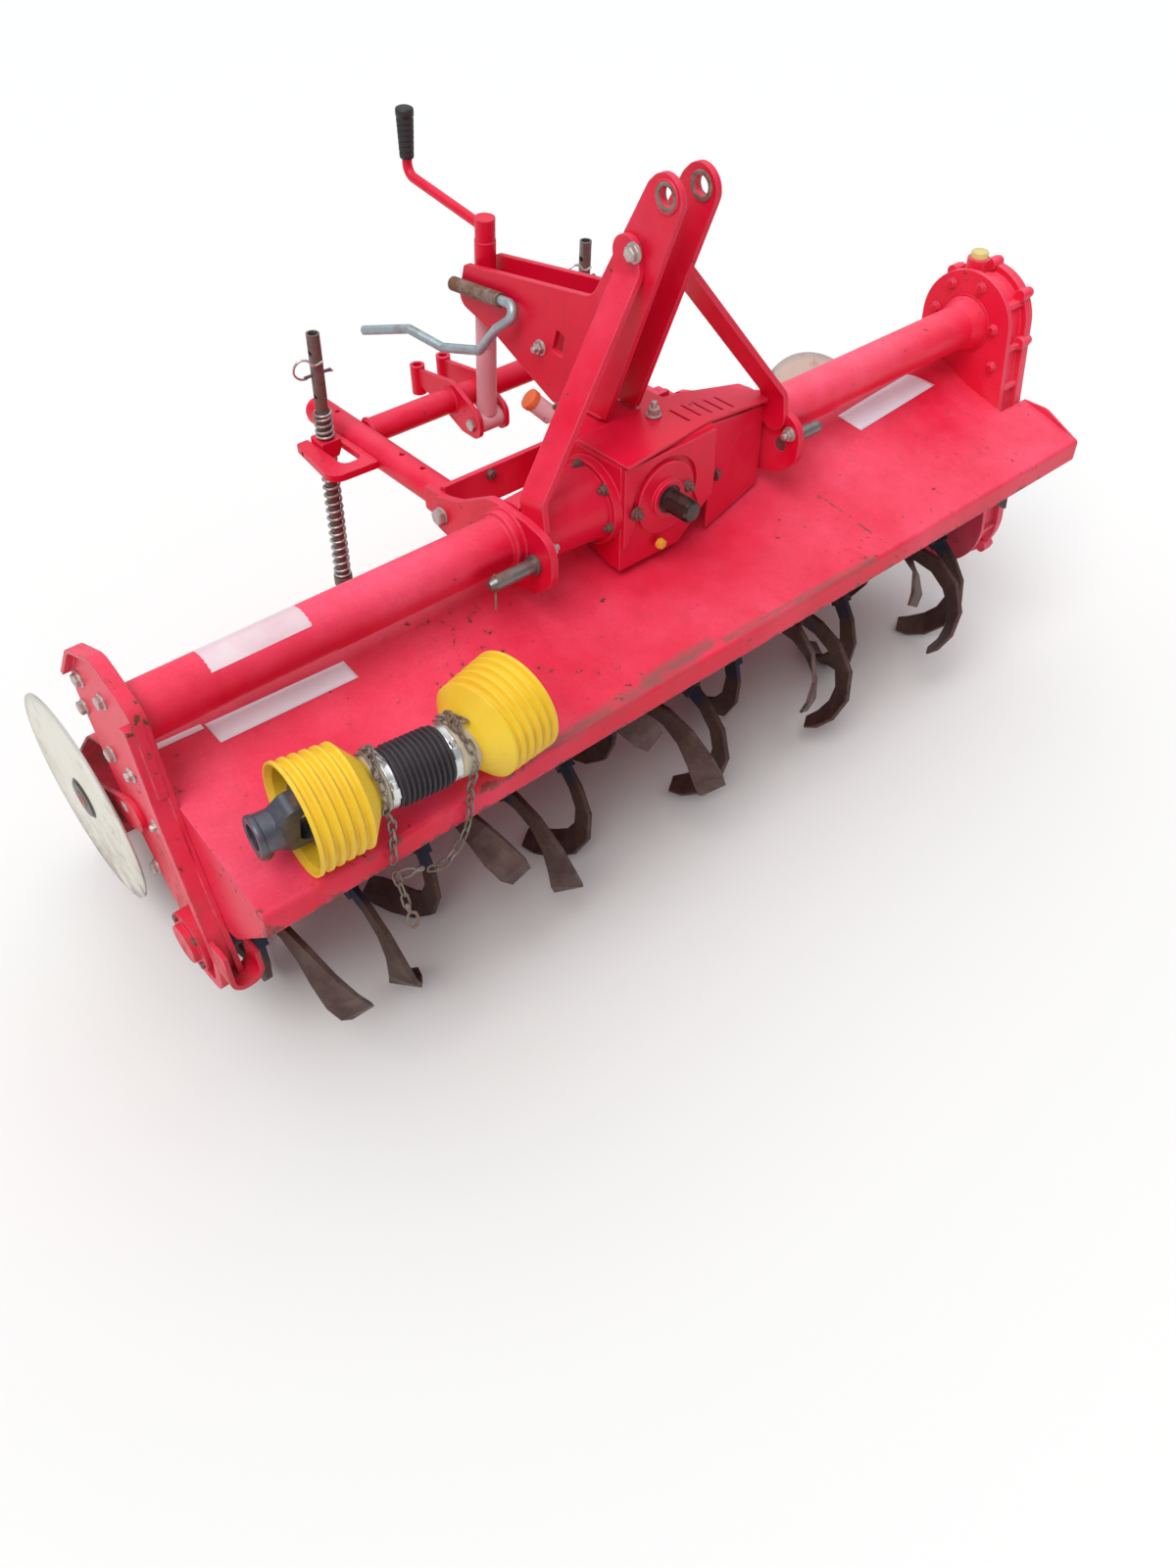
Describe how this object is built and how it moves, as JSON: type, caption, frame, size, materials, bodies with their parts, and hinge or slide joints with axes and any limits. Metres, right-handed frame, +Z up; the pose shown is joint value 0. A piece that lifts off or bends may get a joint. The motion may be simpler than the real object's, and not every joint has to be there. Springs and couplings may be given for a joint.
{
  "type": "rotary tiller",
  "caption": "Three-point rotary tiller: tined rotor under a hood, chain case, gearbox with splined input, mast, hinged rear cover, screw-jack depth frame and side discs.",
  "frame": {"origin": "on the ground under the middle of the machine as it stands on its tines and rear cover", "axes": "+X from the side plate towards the chain case, +Y to the rear, away from the tractor, +Z up"},
  "size_m": [1.76, 0.8666, 1.0747],
  "materials": {
    "red_paint": "worn, sun-faded enamel with dust and chips",
    "faded_paint": "paint bleached to a pinkish white",
    "worn_steel": "bare steel with rust and dried soil",
    "bright_steel": "zinc-plated or machined, lightly stained",
    "spring_steel": "dull coiled wire",
    "cream_paint": "cream enamel worn to metal at the rim",
    "yellow_plastic": "chalky moulded plastic",
    "black_rubber": "satin moulded rubber"
  },
  "bodies": {
    "frame": {"chain_case": "red_paint", "chain_case_cover": "red_paint", "cover_hinge": "red_paint", "driveline_bellows": "black_rubber", "driveline_yoke": "bright_steel", "end_bearing": "red_paint", "filler_plug": "yellow_plastic", "front_web": "red_paint", "gearbox": "red_paint", "handle_socket": "faded_paint", "hood": "red_paint", "left_beam_tube": "red_paint", "left_brace": "red_paint", "left_disc_arm": "red_paint", "left_guard_cone": "yellow_plastic", "left_hinge_bolt": "bright_steel", "left_hitch_plate": "red_paint", "left_lower_pin": "bright_steel", "left_mast_plate": "red_paint", "oil_filler": "faded_paint", "oil_filler_cap": "yellow_plastic", "right_beam_tube": "red_paint", "right_brace": "red_paint", "right_disc_arm": "red_paint", "right_guard_cone": "yellow_plastic", "right_hinge_bolt": "bright_steel", "right_hitch_plate": "red_paint", "right_lower_pin": "bright_steel", "right_mast_plate": "red_paint", "side_plate": "red_paint", "stowed_handle": "worn_steel", "top_cover": "red_paint"},
    "rotor": {"rotor": "worn_steel"},
    "pto_input": {"input_stub": "bright_steel"},
    "left_side_disc": {"left_disc": "cream_paint"},
    "right_side_disc": {"right_disc": "cream_paint"},
    "depth_frame": {"frame_left_tube": "red_paint", "frame_right_tube": "red_paint", "frame_crossbar": "red_paint", "frame_flat_bar": "red_paint", "left_fork": "red_paint", "right_fork": "red_paint", "left_clevis": "red_paint", "right_clevis": "red_paint", "jack_lower_pin": "bright_steel"},
    "rear_cover": {"rear_cover": "red_paint"},
    "spring_rods": {"left_spring_rod": "worn_steel", "right_spring_rod": "worn_steel", "left_springs": "spring_steel", "right_springs": "spring_steel", "left_swivel": "red_paint", "right_swivel": "red_paint"},
    "jack_barrel": {"jack_barrel": "red_paint"},
    "jack_tube": {"jack_tube": "faded_paint"},
    "crank": {"crank_arm": "worn_steel", "crank_grip": "black_rubber"}
  },
  "joints": [
    {"name": "rotor_spin", "type": "hinge", "parent": "frame", "child": "rotor", "pos_m": [0, -0.1827, 0.24], "axis": [1, 0, 0], "continuous": true},
    {"name": "pto_input_spin", "type": "hinge", "parent": "frame", "child": "pto_input", "pos_m": [-0.016, -0.2147, 0.62], "axis": [0, 1, 0], "continuous": true},
    {"name": "left_disc_spin", "type": "hinge", "parent": "frame", "child": "left_side_disc", "pos_m": [-0.855, 0.1453, 0.27], "axis": [1, 0, 0], "continuous": true},
    {"name": "right_disc_spin", "type": "hinge", "parent": "frame", "child": "right_side_disc", "pos_m": [0.813, 0.1453, 0.27], "axis": [1, 0, 0], "continuous": true},
    {"name": "depth_frame_hinge", "type": "hinge", "parent": "frame", "child": "depth_frame", "pos_m": [0, 0.0103, 0.578], "axis": [1, 0, 0], "range_deg": [-5, 5]},
    {"name": "rear_cover_hinge", "type": "hinge", "parent": "frame", "child": "rear_cover", "pos_m": [0, 0.0693, 0.392], "axis": [1, 0, 0], "range_deg": [-6.2, 6.2]},
    {"name": "spring_rod_pivot", "type": "hinge", "parent": "rear_cover", "child": "spring_rods", "pos_m": [0, 0.3343, 0.174], "axis": [1, 0, 0], "range_deg": [-3.2, 3.2]},
    {"name": "jack_tilt", "type": "hinge", "parent": "frame", "child": "jack_barrel", "pos_m": [0, 0.2173, 0.796], "axis": [1, 0, 0], "range_deg": [-1.5, 1.5]},
    {"name": "jack_extension", "type": "slide", "parent": "jack_barrel", "child": "jack_tube", "axis": [0, -0.0789, 0.9969], "range_m": [-0.0205, 0.0205]},
    {"name": "crank_turn", "type": "hinge", "parent": "jack_barrel", "child": "crank", "pos_m": [0, 0.21178, 0.86578], "axis": [0, -0.0789, 0.9969], "continuous": true}
  ],
  "couplings": [
    {"joint": "pto_input_spin", "follows": "rotor_spin", "ratio": 2.7},
    {"joint": "rear_cover_hinge", "follows": "depth_frame_hinge", "ratio": 1.1857},
    {"joint": "spring_rod_pivot", "follows": "depth_frame_hinge", "ratio": -0.54507},
    {"joint": "jack_tilt", "follows": "depth_frame_hinge", "ratio": 0.16285},
    {"joint": "jack_extension", "follows": "depth_frame_hinge", "m_per_rad": 0.22339}
  ]
}
